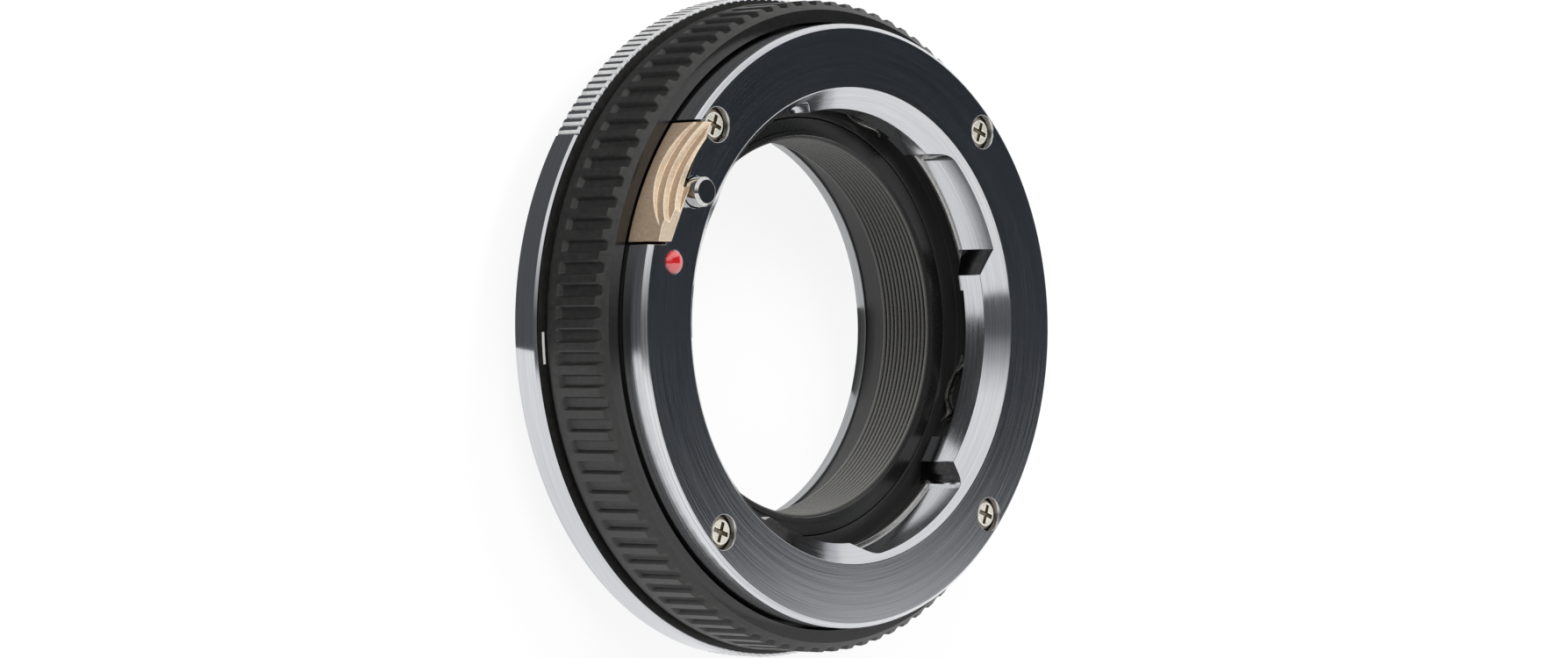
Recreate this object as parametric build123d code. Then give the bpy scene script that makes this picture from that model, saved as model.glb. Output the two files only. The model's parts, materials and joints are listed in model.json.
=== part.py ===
from build123d import *
from math import cos, degrees, radians, sin
import os

# Lens mount adapter with a helicoid, in millimetres.
# The optical axis is Z, the camera side is down and the rear rim stands on Z = 0.

# Radii, from the throat outwards
THROAT_RADIUS = 22.1
LUG_DEPTH = 1.9
GAP_DEPTH = 0.6
NECK_WALL = 0.7
FLANGE_WIDTH = 5.95
PLATE_CLEARANCE = 0.25
SLEEVE_WALL = 0.9
GRIP_WALL = 0.73
GROOVE_DEPTH = 0.45
REAR_STEP = 0.72
KEEPER_STEP = 0.38
SPRING_LEDGE = 0.6
BARREL_STEP = 0.35
SKIRT_WALL = 1.0
LIP_DEPTH = 0.7

# Radii, from the throat inwards to the light path and out again to the rear bayonet
LIGHT_STEP = 4.5
TUBE_WALL = 1.2
TUBE_FLANGE = 0.9
TUBE_MOUTH = 0.35
TUBE_LIP = 0.4
BAFFLE_CLEARANCE = 0.35
BAFFLE_WALL = 0.75
BAFFLE_FLANGE_DEPTH = 0.7
BAYONET_LIP_STEP = 0.2
BAYONET_WALL = 1.75
BAYONET_LUG_DEPTH = 1.3
RELIEF_WIDTH = 0.3
REAR_RIM_WIDTH = 2.3

# Heights, from the rear rim upwards
BAYONET_LENGTH = 3.9
CAMERA_FLANGE = 0.9
BODY_FLOOR = 0.7
REAR_RING_WIDTH = 2.8
RING_GAP = 0.6
FOCUS_RING_WIDTH = 7.1
PLATE_GAP = 0.1
PLATE_RIM = 2.9
LUG_BACK = 4.6
CONE_SLOPE = 0.93
LEDGE_HEIGHT = 0.4
STOP_HEIGHT = 1.4
WELL_DEPTH = 6.6
WEB_THICKNESS = 0.75
FOOT_HEIGHT = 2.25
TUBE_LENGTH = 6.2
TUBE_SEAT = 0.3
TUBE_PROUD = 0.2
GRIP_FRONT_LIP = 1.0
BAFFLE_FLANGE_HEIGHT = 0.5
BAYONET_LIP_HEIGHT = 1.35
BAYONET_LUG_LOW = 0.6
BAYONET_LUG_HEIGHT = 1.15
RELIEF_DEPTH = 0.3

# Helicoid travel from the modelled pose, towards the camera and away from it
RETRACT = 3.65
EXTEND = 0.35
TURN_PER_MM = 30.0

# Fits and working clearances
SLIP_FIT = 0.02
THREAD_CLEARANCE = 0.1
RUN_CLEARANCE = 0.15
END_CLEARANCE = 0.3
KEY_CLEARANCE = 0.1
SIDE_GAP = 0.2
BUTTON_GAP = 0.25
EDGE_BREAK = 0.15
THROUGH = 1.0

# Grip grooves of the focusing ring
GRIP_GROOVES = 94
GRIP_PHASE = 182.3
GROOVE_TOP_WIDTH = 1.25
GROOVE_ROOT_WIDTH = 0.8
GRIP_FRONT_CHAMFER = 0.9
GRIP_REAR_BAND = 1.2
GRIP_RUN_OUT = 0.55
GRIP_REAR_ROUND = 0.35
RIB_SINK = 0.2

# Knurl of the rear ring
KNURL_RIBS = 40
KNURL_PITCH = 1.75
KNURL_STARTS = (77.2, 257.2)
KNURL_TOP_WIDTH = 0.52
KNURL_ROOT_WIDTH = 0.34
KNURL_DEPTH = 0.3
REAR_CHAMFER = 0.22

# Gaps between the lens bayonet lugs: angles of both ends at the lugs' inner edge,
# the further angle each end slants over and the cutter's rounding in its outer corner
LENS_GAPS = ((14.9, 54.6), (103.1, 146.8), (198.5, 240.5), (272.5, 320.8))
GAP_SLANTS = ((6.0, 4.5), (3.4, 4.5), (6.0, 4.5), (6.0, 4.2))
GAP_ROUNDS = ((0.1, 2.5), (1.6, 2.2), (2.5, 2.2), (2.5, 2.1))
FULL_TURN = 360
LEDGE_INSETS = (8.4, 4.4)
FACE_CHAMFER = 0.42

# Rear bayonet lugs and the slot for the camera's lock pin
CAMERA_LUGS = ((30, 82), (150, 202), (270, 322))
LOCK_SLOT_ANGLE = 125
LOCK_SLOT_LENGTH = 3.2
LOCK_SLOT_WIDTH = 2.2
BAYONET_EDGE = 0.3

# Screws of the lens mount plate
SCREW_COUNT = 4
SCREW_ANGLE = 46.5
SCREW_SET_IN = 2.15
SCREW_HEAD = 1.45
SCREW_SHANK = 0.8
SCREW_SINK = 1.2
SCREW_HEAD_HEIGHT = 0.85
SCREW_CROWN = 0.35
SCREW_REACH = 1.8
SCREW_TURN = 25
RECESS_LENGTH = 1.9
RECESS_WIDTH = 0.42
RECESS_DEPTH = 0.5

# Screws of the camera mount plate
CAMERA_SCREW_COUNT = 4
CAMERA_SCREW_ANGLE = 15
CAMERA_SCREW_HEAD = 1.35
CAMERA_SCREW_SHANK = 0.7
CAMERA_SCREW_RIM = 0.1

# Index bead and lock pin
BEAD_RADIUS = 1.05
BEAD_SET_IN = 3.15
BEAD_ANGLE = 167.6
BEAD_SEAT = 0.6
PIN_RADIUS = 1.35
PIN_STEP = 0.4
PIN_SET_IN = 3.45
PIN_ANGLE = 151.7
PIN_PROUD = 1.5
PIN_CHAMFER = 0.25
PRESS_STROKE = 1.5

# Release button
BUTTON_ANGLES = (140.2, 165.3)
BUTTON_FACING = 154.6
BUTTON_WIDTH = 1.95
BUTTON_PROUD = 0.9
SCOOP_RADIUS = 8.6
SCOOP_ANGLE = 150.2
SCOOP_FLOOR = 1.75
SCOOP_STEPS = 3

# Derived radii
FLANGE_RADIUS = THROAT_RADIUS + FLANGE_WIDTH
LUG_RADIUS = THROAT_RADIUS - LUG_DEPTH
GAP_RADIUS = THROAT_RADIUS - GAP_DEPTH
NECK_RADIUS = GAP_RADIUS + NECK_WALL
WELL_RADIUS = NECK_RADIUS + THREAD_CLEARANCE
SPRING_SEAT = WELL_RADIUS - SPRING_LEDGE
BORE_RADIUS = FLANGE_RADIUS + PLATE_CLEARANCE
SLEEVE_RADIUS = BORE_RADIUS + SLEEVE_WALL
LIP_RADIUS = SLEEVE_RADIUS + LIP_DEPTH
GRIP_BORE = SLEEVE_RADIUS + SLIP_FIT
GRIP_ROOT = GRIP_BORE + GRIP_WALL
FOCUS_RADIUS = GRIP_ROOT + GROOVE_DEPTH
REAR_RADIUS = FOCUS_RADIUS + REAR_STEP
KEEPER_RADIUS = FOCUS_RADIUS + KEEPER_STEP
BARREL_RADIUS = FLANGE_RADIUS - BARREL_STEP
FOOT_RADIUS = BORE_RADIUS - THREAD_CLEARANCE
SKIRT_RADIUS = WELL_RADIUS + SKIRT_WALL
LIGHT_RADIUS = THROAT_RADIUS - LIGHT_STEP
TUBE_RADIUS = LIGHT_RADIUS + TUBE_WALL
TUBE_FLANGE_RADIUS = TUBE_RADIUS + TUBE_FLANGE
BAFFLE_BORE = TUBE_RADIUS + BAFFLE_CLEARANCE
BAFFLE_RADIUS = BAFFLE_BORE + BAFFLE_WALL
BAFFLE_FLANGE = BAFFLE_RADIUS + BAFFLE_FLANGE_DEPTH
BAYONET_BORE = BAFFLE_RADIUS + SLIP_FIT
BAYONET_LIP = BAFFLE_BORE - BAYONET_LIP_STEP
BAYONET_RADIUS = BAYONET_BORE + BAYONET_WALL
CAMERA_LUG_RADIUS = BAYONET_RADIUS + BAYONET_LUG_DEPTH
RELIEF_RADIUS = CAMERA_LUG_RADIUS + RELIEF_WIDTH
CAMERA_PLATE_RADIUS = REAR_RADIUS - REAR_RIM_WIDTH
CAMERA_SCREW_CIRCLE = (RELIEF_RADIUS + CAMERA_PLATE_RADIUS) / 2

# Derived heights
Z_CAMERA = BAYONET_LENGTH
Z_BODY = Z_CAMERA + CAMERA_FLANGE
Z_FLOOR = Z_BODY + BODY_FLOOR
Z_REAR = Z_CAMERA + REAR_RING_WIDTH
Z_FOCUS = Z_REAR + RING_GAP
Z_FRONT = Z_FOCUS + FOCUS_RING_WIDTH
Z_GRIP_LIP = Z_FRONT - GRIP_FRONT_LIP
Z_PLATE = Z_FRONT + PLATE_GAP
Z_FACE = Z_PLATE + PLATE_RIM
Z_LUG = Z_FACE - LUG_BACK
Z_STOP = Z_LUG - STOP_HEIGHT
Z_WELL = Z_FACE - WELL_DEPTH
Z_SEAT = Z_WELL - TUBE_SEAT
Z_TUBE = Z_WELL + TUBE_PROUD
Z_WEB = Z_WELL - WEB_THICKNESS
Z_FOOT = Z_FLOOR + RETRACT + END_CLEARANCE
Z_FOOT_TOP = Z_FOOT + FOOT_HEIGHT

# Sleeve lip, washers and keeper ring between the body floor and the top of the rear ring
WASHER = 0.1
KEEPER_HEIGHT = 0.5
END_FLOAT = 0.05
Z_LIP = Z_FLOOR + WASHER
Z_KEEPER = Z_REAR - KEEPER_HEIGHT
Z_LIP_TOP = Z_KEEPER - END_FLOAT - WASHER
STOP_PIN_RADIUS = 0.3
STOP_CIRCLE = (SLEEVE_RADIUS + LIP_RADIUS) / 2
STOP_ANGLE = 0.0
STOP_MARGIN = 0.3

# Bayonet spring, with one waved leaf behind each lug, as shares of its span and bow
SPRING_THICKNESS = 0.3
SPRING_OVERLAP = 0.2
LEAF_BOW = 1.3
LEAF_SPAN = 19.0
LEAF_INSET = 22.0
LEAF_WAVE = ((0, 0), (0.16, 0.28), (0.39, 0.88), (0.53, 1), (0.65, 0.95), (0.82, 0.5), (1, 0.85))

# Guide keys and their screws
KEY_ANGLES = (90, 210, 330)
KEY_WIDTH = 2.4
KEY_RADIAL = 2.0
KEY_FOOT = 0.6
KEY_FOOT_WIDTH = 6.0
KEY_ENGAGED = 1.8
KEY_SKIN = 0.6
KEY_INNER = SKIRT_RADIUS + KEY_SKIN
KEY_MIDDLE = KEY_INNER + KEY_RADIAL / 2
KEY_FOOT_INNER = BAFFLE_FLANGE + SIDE_GAP
KEY_FOOT_OUTER = SKIRT_RADIUS - END_CLEARANCE
KEY_FOOT_MIDDLE = (KEY_FOOT_INNER + KEY_FOOT_OUTER) / 2
Z_KEY_FOOT = Z_FLOOR + KEY_FOOT
Z_KEY_TOP = Z_FOOT + EXTEND + KEY_ENGAGED
Z_KEY_POCKET = Z_KEY_TOP + RETRACT + END_CLEARANCE
KEY_SCREW_HEAD = 0.75
KEY_SCREW_SHANK = 0.45
KEY_SCREW_RIM = 0.05
KEY_SCREW_SPREAD = 1.9
KEY_SCREW_SLOT = 0.25

# Release tongue, its pocket and its coil spring
TONGUE_THICKNESS = 0.9
TONGUE_WIDTH = 5.0
TONGUE_OVERLAP = 1.0
Z_TONGUE_TOP = Z_PLATE - PLATE_GAP
Z_TONGUE = Z_TONGUE_TOP - TONGUE_THICKNESS
Z_POCKET = Z_TONGUE - PRESS_STROKE - THREAD_CLEARANCE
COIL_WIRE = 0.12
COIL_RADIUS = 0.85
COIL_TURNS = 5
COIL_HOLE = COIL_RADIUS + COIL_WIRE + RUN_CLEARANCE
COIL_FLOOR = 0.5
Z_COIL = Z_FOOT + COIL_FLOOR

# Set screws of the grip ring
SET_SCREW_ANGLES = (75, 285)
SET_SCREW_RADIUS = 0.4
SET_SCREW_HEIGHT = 0.75

# Index mark in the keeper ring
MARK_ANGLES = (181.6, 187.1)
MARK_WIDTH = 0.3
MARK_EDGE = 0.5
MARK_DEPTH = 0.15


def turned(points, start=0, arc=360):
    """Solid turned about the optical axis from (radius, height) points."""
    outline = Polyline(*[(r, 0, z) for r, z in points], close=True)
    return Rot(0, 0, start) * revolve(make_face(outline), Axis.Z, arc)


def ring(inner, outer, low, high, start=0, arc=360):
    """Plain ring, or a sector of one."""
    return turned([(inner, low), (outer, low), (outer, high), (inner, high)], start, arc)


def polar(radius, angle):
    """Plane position from a radius and an angle in degrees."""
    return (radius * cos(radians(angle)), radius * sin(radians(angle)))


def place(radius, angle):
    """Location on the part whose local X points away from the axis."""
    return Rot(0, 0, angle) * Pos(radius, 0, 0)


def post(radius, low, high):
    """Upright cylinder between two heights."""
    return Pos(0, 0, (low + high) / 2) * Cylinder(radius, high - low)


def block(radial, width, low, high):
    """Upright block centred on its location."""
    return Pos(0, 0, (low + high) / 2) * Box(radial, width, high - low)


def grooved_disc(radius, depth, top_width, root_width, angles):
    """Disc outline with one tapered groove at each angle."""
    flare = (top_width - root_width) / 2
    groove = make_face(Polyline(
        (-depth, -root_width / 2),
        (depth, -top_width / 2 - flare),
        (depth, top_width / 2 + flare),
        (-depth, root_width / 2),
        close=True,
    ))
    return Circle(radius) - [Rot(0, 0, a) * Pos(radius, 0) * groove for a in angles]


def lug_gap(ends, slants, rounds):
    """Outline of the milled gap between two lens lugs, with slanted and rounded ends."""
    corners = []
    for angle, slant in zip(ends, (slants[0], -slants[1])):
        near = Vector(*polar(LUG_RADIUS, angle))
        far = Vector(*polar(GAP_RADIUS, angle + slant))
        inward = (near - far).normalized()
        corners.append((near + inward * 2 * LUG_DEPTH, far))
    (near_a, far_a), (near_b, far_b) = corners
    middle = polar(GAP_RADIUS, sum(ends) / 2)
    edges = [
        Line(near_a, far_a),
        ThreePointArc(far_a, middle, far_b),
        Line(far_b, near_b),
        Line(near_b, near_a),
    ]
    gap = Sketch() + make_face(edges)
    for corner, radius in zip((far_a, far_b), rounds):
        gap = fillet(gap.vertices().sort_by_distance(corner)[0], radius)
    return gap


def lens_lugs():
    """Start and end angles of the lugs that the gaps leave."""
    ends = [gap[1] for gap in LENS_GAPS]
    starts = [gap[0] for gap in LENS_GAPS[1:]] + [LENS_GAPS[0][0] + FULL_TURN]
    return list(zip(ends, starts))


def lens_stop(grow):
    """Block behind the first end of the last lug, which stops the lens's turn."""
    end = LENS_GAPS[-1][1]
    start = end - GAP_SLANTS[-1][1] - grow
    arc = end + LEDGE_INSETS[0] + grow - start
    return ring(LUG_RADIUS, GAP_RADIUS + grow, Z_STOP, Z_LUG, start, arc)


def button_outline(grow, radius):
    """Plan of the release button, grown by a gap for its cut-out."""
    low = FLANGE_RADIUS * sin(radians(BUTTON_ANGLES[1])) - grow
    high = FLANGE_RADIUS * sin(radians(BUTTON_ANGLES[0])) + grow
    band = Pos(-radius, (low + high) / 2) * Rectangle(2 * radius, high - low)
    inner = FLANGE_RADIUS - BUTTON_WIDTH - grow
    half = Rot(0, 0, BUTTON_FACING) * Pos(inner + radius, 0) * Rectangle(2 * radius, 4 * radius)
    return Circle(radius) & band & half


def tongue_outline(grow):
    """Plan of the arm that joins the button to the lock pin."""
    inner = FLANGE_RADIUS - PIN_SET_IN - PIN_RADIUS - grow
    outer = FLANGE_RADIUS - TONGUE_OVERLAP
    width = TONGUE_WIDTH + 2 * grow
    return Rot(0, 0, PIN_ANGLE) * Pos((inner + outer) / 2, 0) * Rectangle(outer - inner, width)


def pin_place():
    """Axis of the lock pin and of its spring."""
    return place(FLANGE_RADIUS - PIN_SET_IN, PIN_ANGLE)


def bead_place():
    """Axis of the index bead."""
    return place(FLANGE_RADIUS - BEAD_SET_IN, BEAD_ANGLE)


def screw_places():
    """Axes of the lens mount screws."""
    step = FULL_TURN / SCREW_COUNT
    return [place(FLANGE_RADIUS - SCREW_SET_IN, SCREW_ANGLE + step * k) for k in range(SCREW_COUNT)]


def camera_screw_places():
    """Axes of the camera mount screws."""
    step = FULL_TURN / CAMERA_SCREW_COUNT
    return [place(CAMERA_SCREW_CIRCLE, CAMERA_SCREW_ANGLE + step * k) for k in range(CAMERA_SCREW_COUNT)]


def key_screw_places():
    """Axes of the guide key screws, one on each side of each key."""
    places = []
    for angle in KEY_ANGLES:
        for side in (-KEY_SCREW_SPREAD, KEY_SCREW_SPREAD):
            places.append(Rot(0, 0, angle) * Pos(KEY_FOOT_MIDDLE, side, 0))
    return places


def lens_mount_plate():
    plate = turned([
        (THROAT_RADIUS, Z_FACE),
        (LUG_RADIUS, Z_FACE - LUG_DEPTH * CONE_SLOPE),
        (LUG_RADIUS, Z_LUG),
        (NECK_RADIUS, Z_LUG),
        (NECK_RADIUS, Z_PLATE),
        (FLANGE_RADIUS - EDGE_BREAK, Z_PLATE),
        (FLANGE_RADIUS, Z_PLATE + EDGE_BREAK),
        (FLANGE_RADIUS, Z_FACE - FACE_CHAMFER),
        (FLANGE_RADIUS - FACE_CHAMFER, Z_FACE),
    ])
    plate += lens_stop(0)
    for ends, slants, rounds in zip(LENS_GAPS, GAP_SLANTS, GAP_ROUNDS):
        gap = extrude(lug_gap(ends, slants, rounds), Z_FACE - Z_STOP + 2 * THROUGH)
        plate -= Pos(0, 0, Z_STOP - THROUGH) * gap
    for start, end in lens_lugs():
        arc = end - LEDGE_INSETS[1] - start - LEDGE_INSETS[0]
        plate -= ring(LUG_RADIUS - THROUGH, GAP_RADIUS - SPRING_OVERLAP, Z_LUG - THROUGH,
                      Z_LUG + LEDGE_HEIGHT, start + LEDGE_INSETS[0], arc)
    for spot in screw_places():
        plate -= spot * post(SCREW_HEAD + RUN_CLEARANCE, Z_FACE - SCREW_SINK, Z_FACE + THROUGH)
        plate -= spot * post(SCREW_SHANK + THREAD_CLEARANCE, Z_PLATE - THROUGH, Z_FACE)
    opening = button_outline(BUTTON_GAP, FLANGE_RADIUS + THROUGH)
    plate -= Pos(0, 0, Z_PLATE - THROUGH) * extrude(opening, PLATE_RIM + 2 * THROUGH)
    plate -= pin_place() * post(PIN_RADIUS + THREAD_CLEARANCE, Z_PLATE - THROUGH, Z_FACE + THROUGH)
    plate -= bead_place() * post(BEAD_RADIUS, Z_FACE - BEAD_SEAT, Z_FACE + THROUGH)
    pocket = block(KEY_RADIAL + 4 * KEY_CLEARANCE, KEY_WIDTH + 4 * KEY_CLEARANCE,
                   Z_PLATE - THROUGH, Z_KEY_POCKET)
    for angle in KEY_ANGLES:
        plate -= place(KEY_MIDDLE, angle) * pocket
    return plate


def mount_screws():
    seat = Z_FACE - SCREW_SINK
    top = seat + SCREW_HEAD_HEIGHT
    head = turned([
        (0, seat),
        (SCREW_HEAD, seat),
        (SCREW_HEAD, top - SCREW_CROWN),
        (SCREW_HEAD - SCREW_CROWN, top),
        (0, top),
    ])
    shank = post(SCREW_SHANK, Z_PLATE - SCREW_REACH, seat)
    blade = block(RECESS_LENGTH, RECESS_WIDTH, top - RECESS_DEPTH, top + THROUGH)
    screw = head + shank - blade - Rot(0, 0, 90) * blade
    return [spot * Rot(0, 0, SCREW_TURN) * screw for spot in screw_places()]


def spring_leaf():
    """Waved strip that runs clockwise from the local X axis."""
    length = LUG_RADIUS * sin(radians(LEAF_SPAN))
    top = Spline(*[(-length * along, -LEAF_BOW * drop) for along, drop in LEAF_WAVE])
    bottom = Pos(0, -SPRING_THICKNESS) * top
    strip = make_face([top, Line(top @ 1, bottom @ 1), bottom, Line(bottom @ 0, top @ 0)])
    return Pos(0, 0, Z_LUG) * extrude(Plane.YZ * strip, 2 * NECK_RADIUS)


def bayonet_spring():
    inner = LUG_RADIUS + END_CLEARANCE
    outer = GAP_RADIUS - SPRING_OVERLAP
    spring = ring(outer - SPRING_OVERLAP, NECK_RADIUS, Z_LUG - SPRING_THICKNESS, Z_LUG)
    spring -= lens_stop(SIDE_GAP)
    strip = spring_leaf() & ring(inner, outer, Z_LUG - 2 * LEAF_BOW, Z_LUG)
    return spring + [Rot(0, 0, end - LEAF_INSET) * strip for start, end in lens_lugs()]


def index_bead():
    radius = BEAD_RADIUS - SLIP_FIT
    dome = Pos(0, 0, Z_FACE) * Sphere(radius) & post(radius, Z_FACE, Z_FACE + radius)
    return bead_place() * (post(radius, Z_FACE - BEAD_SEAT + SLIP_FIT, Z_FACE) + dome)


def lens_barrel():
    barrel = turned([
        (FOOT_RADIUS, Z_FOOT),
        (FOOT_RADIUS, Z_FOOT_TOP),
        (BARREL_RADIUS, Z_FOOT_TOP),
        (BARREL_RADIUS, Z_PLATE),
        (WELL_RADIUS, Z_PLATE),
        (WELL_RADIUS, Z_LUG - SPRING_THICKNESS),
        (SPRING_SEAT, Z_LUG - SPRING_THICKNESS),
        (SPRING_SEAT, Z_WELL),
        (TUBE_FLANGE_RADIUS + SLIP_FIT, Z_WELL),
        (TUBE_FLANGE_RADIUS + SLIP_FIT, Z_SEAT),
        (TUBE_RADIUS + SLIP_FIT, Z_SEAT),
        (TUBE_RADIUS + SLIP_FIT, Z_WEB),
        (SKIRT_RADIUS, Z_WEB),
        (SKIRT_RADIUS, Z_FOOT),
    ])
    width = KEY_WIDTH + 2 * KEY_CLEARANCE
    deep = KEY_RADIAL + 4 * KEY_CLEARANCE
    slot = block(deep, width, Z_FOOT - THROUGH, Z_PLATE + THROUGH)
    mouth = Pos(-KEY_RADIAL / 2, 0, 0) * block(deep, width, Z_FOOT - THROUGH, Z_WEB)
    for angle in KEY_ANGLES:
        barrel -= place(KEY_MIDDLE, angle) * (slot + mouth)
    pocket = button_outline(BUTTON_GAP, FOOT_RADIUS + THROUGH) + tongue_outline(BUTTON_GAP)
    barrel -= Pos(0, 0, Z_POCKET) * extrude(pocket, Z_PLATE + THROUGH - Z_POCKET)
    barrel -= pin_place() * post(COIL_HOLE, Z_COIL, Z_PLATE)
    for spot in screw_places():
        barrel -= spot * post(SCREW_SHANK + SLIP_FIT, Z_PLATE - SCREW_REACH - SIDE_GAP, Z_PLATE + THROUGH)
    return barrel


def ridged_light_tube():
    low = Z_WELL - TUBE_LENGTH
    return turned([
        (LIGHT_RADIUS, low + END_CLEARANCE),
        (LIGHT_RADIUS + END_CLEARANCE, low),
        (TUBE_RADIUS, low),
        (TUBE_RADIUS, Z_SEAT),
        (TUBE_FLANGE_RADIUS, Z_SEAT),
        (TUBE_FLANGE_RADIUS, Z_WELL - EDGE_BREAK),
        (TUBE_FLANGE_RADIUS - EDGE_BREAK, Z_WELL),
        (LIGHT_RADIUS + TUBE_MOUTH + TUBE_LIP, Z_WELL),
        (LIGHT_RADIUS + TUBE_MOUTH + TUBE_LIP, Z_TUBE),
        (LIGHT_RADIUS + TUBE_MOUTH, Z_TUBE),
        (LIGHT_RADIUS, Z_SEAT),
    ])


def release_button():
    """Button with a scooped front corner that rises to its inner edge in steps."""
    top = Z_FACE + BUTTON_PROUD
    outside = FLANGE_RADIUS - SLIP_FIT
    button = Pos(0, 0, Z_TONGUE_TOP) * extrude(button_outline(0, outside), top - Z_TONGUE_TOP)
    button += Pos(0, 0, Z_TONGUE) * extrude(tongue_outline(0), TONGUE_THICKNESS)
    button &= post(outside, Z_TONGUE, top)
    rise = (BUTTON_PROUD + SCOOP_FLOOR) / SCOOP_STEPS
    reach = 2 * BUTTON_WIDTH
    cutter = Rot(0, 90, 0) * Cylinder(SCOOP_RADIUS, reach)
    for k in range(SCOOP_STEPS):
        wall = FLANGE_RADIUS - BUTTON_WIDTH * (k + 1) / SCOOP_STEPS
        height = Z_FACE - SCOOP_FLOOR + k * rise + SCOOP_RADIUS
        button -= place(wall + reach / 2, SCOOP_ANGLE) * Pos(0, 0, height) * cutter
    spigot = post(PIN_RADIUS - PIN_STEP + SLIP_FIT, Z_TONGUE - THROUGH, Z_TONGUE_TOP + THROUGH)
    return button - pin_place() * spigot


def lock_pin():
    top = Z_FACE + PIN_PROUD
    return pin_place() * turned([
        (0, Z_TONGUE),
        (PIN_RADIUS - PIN_STEP, Z_TONGUE),
        (PIN_RADIUS - PIN_STEP, Z_TONGUE_TOP),
        (PIN_RADIUS, Z_TONGUE_TOP),
        (PIN_RADIUS, top - PIN_CHAMFER),
        (PIN_RADIUS - PIN_CHAMFER, top),
        (0, top),
    ])


def release_spring():
    low = Z_COIL + COIL_WIRE + SLIP_FIT
    high = Z_TONGUE - COIL_WIRE - SLIP_FIT
    path = Helix((high - low) / COIL_TURNS, high - low, COIL_RADIUS)
    wire = Plane(origin=path @ 0, z_dir=path % 0) * Circle(COIL_WIRE)
    return pin_place() * Pos(0, 0, low) * sweep(wire, path=path, is_frenet=True)


def set_screw_shape(angle, radius, reach):
    """Radial set screw through the rear band of the grip ring."""
    length = GRIP_WALL + GROOVE_DEPTH - EDGE_BREAK + reach
    spot = place(GRIP_BORE + length / 2, angle) * Pos(0, 0, Z_FOCUS + SET_SCREW_HEIGHT)
    return spot * Rot(0, 90, 0) * Cylinder(radius, length)


def focus_grip_ring():
    """Ring with milled grooves that run out on the front chamfer and rise to the rear band."""
    groove_low = Z_FOCUS + GRIP_REAR_BAND
    root_front = Z_FRONT - GRIP_FRONT_CHAMFER + GROOVE_DEPTH
    blank = turned([
        (GRIP_BORE, Z_FOCUS),
        (FOCUS_RADIUS - GRIP_REAR_ROUND, Z_FOCUS),
        (FOCUS_RADIUS - GRIP_REAR_ROUND * 0.3, Z_FOCUS + GRIP_REAR_ROUND * 0.3),
        (FOCUS_RADIUS, Z_FOCUS + GRIP_REAR_ROUND),
        (FOCUS_RADIUS, groove_low),
        (GRIP_ROOT, groove_low + GRIP_RUN_OUT),
        (GRIP_ROOT, root_front),
        (FOCUS_RADIUS - GRIP_FRONT_CHAMFER, Z_FRONT),
        (BORE_RADIUS + EDGE_BREAK, Z_FRONT),
        (BORE_RADIUS, Z_FRONT - EDGE_BREAK),
        (BORE_RADIUS, Z_GRIP_LIP),
        (GRIP_BORE, Z_GRIP_LIP),
    ])
    step = FULL_TURN / GRIP_GROOVES
    angles = [GRIP_PHASE + step * k for k in range(GRIP_GROOVES)]
    outline = grooved_disc(FOCUS_RADIUS, GROOVE_DEPTH, GROOVE_TOP_WIDTH, GROOVE_ROOT_WIDTH, angles)
    ribs = Pos(0, 0, groove_low) * extrude(outline, Z_FRONT - groove_low)
    ribs &= turned([
        (GRIP_ROOT - RIB_SINK, groove_low),
        (FOCUS_RADIUS, groove_low),
        (FOCUS_RADIUS, Z_FRONT - GRIP_FRONT_CHAMFER),
        (GRIP_ROOT - RIB_SINK, root_front + RIB_SINK),
    ])
    grip = blank + ribs
    for angle in SET_SCREW_ANGLES:
        grip -= set_screw_shape(angle, SET_SCREW_RADIUS + SLIP_FIT, THROUGH)
    return grip


def grip_set_screws():
    return [set_screw_shape(angle, SET_SCREW_RADIUS, 0) for angle in SET_SCREW_ANGLES]


def helicoid_sleeve():
    """Threaded sleeve with a lip at its foot, cut away where the stop pin travels."""
    sleeve = turned([
        (BORE_RADIUS, Z_LIP),
        (LIP_RADIUS, Z_LIP),
        (LIP_RADIUS, Z_LIP_TOP),
        (SLEEVE_RADIUS, Z_LIP_TOP),
        (SLEEVE_RADIUS, Z_GRIP_LIP),
        (BORE_RADIUS, Z_GRIP_LIP),
    ])
    margin = degrees(STOP_PIN_RADIUS / STOP_CIRCLE) + STOP_MARGIN
    start = STOP_ANGLE - EXTEND * TURN_PER_MM - margin
    arc = (EXTEND + RETRACT) * TURN_PER_MM + 2 * margin
    return sleeve - ring(SLEEVE_RADIUS, LIP_RADIUS + THROUGH, Z_LIP - THROUGH, Z_LIP_TOP, start, arc)


def stop_post(grow, low, high):
    """Cylinder on the axis of the stop pin."""
    return place(STOP_CIRCLE, STOP_ANGLE) * post(STOP_PIN_RADIUS + grow, low, high)


def focus_stop_pin():
    return stop_post(0, Z_BODY + THREAD_CLEARANCE, Z_LIP_TOP - THREAD_CLEARANCE)


def lower_slip_washer():
    washer = ring(FOOT_RADIUS + SIDE_GAP, LIP_RADIUS, Z_FLOOR, Z_LIP - END_FLOAT / 2)
    return washer - stop_post(THREAD_CLEARANCE, Z_FLOOR - THROUGH, Z_LIP + THROUGH)


def upper_slip_washer():
    return ring(SLEEVE_RADIUS + RUN_CLEARANCE, LIP_RADIUS, Z_KEEPER - WASHER, Z_KEEPER)


def mark_shape(height):
    """Arc-shaped engraving in the front of the keeper ring."""
    outer = KEEPER_RADIUS - MARK_EDGE
    low = Z_REAR - MARK_DEPTH
    arc = MARK_ANGLES[1] - MARK_ANGLES[0]
    return ring(outer - MARK_WIDTH, outer, low, low + height, MARK_ANGLES[0], arc)


def sleeve_keeper_ring():
    keeper = ring(SLEEVE_RADIUS + RUN_CLEARANCE, KEEPER_RADIUS, Z_KEEPER, Z_REAR)
    return keeper - mark_shape(MARK_DEPTH + THROUGH)


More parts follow.
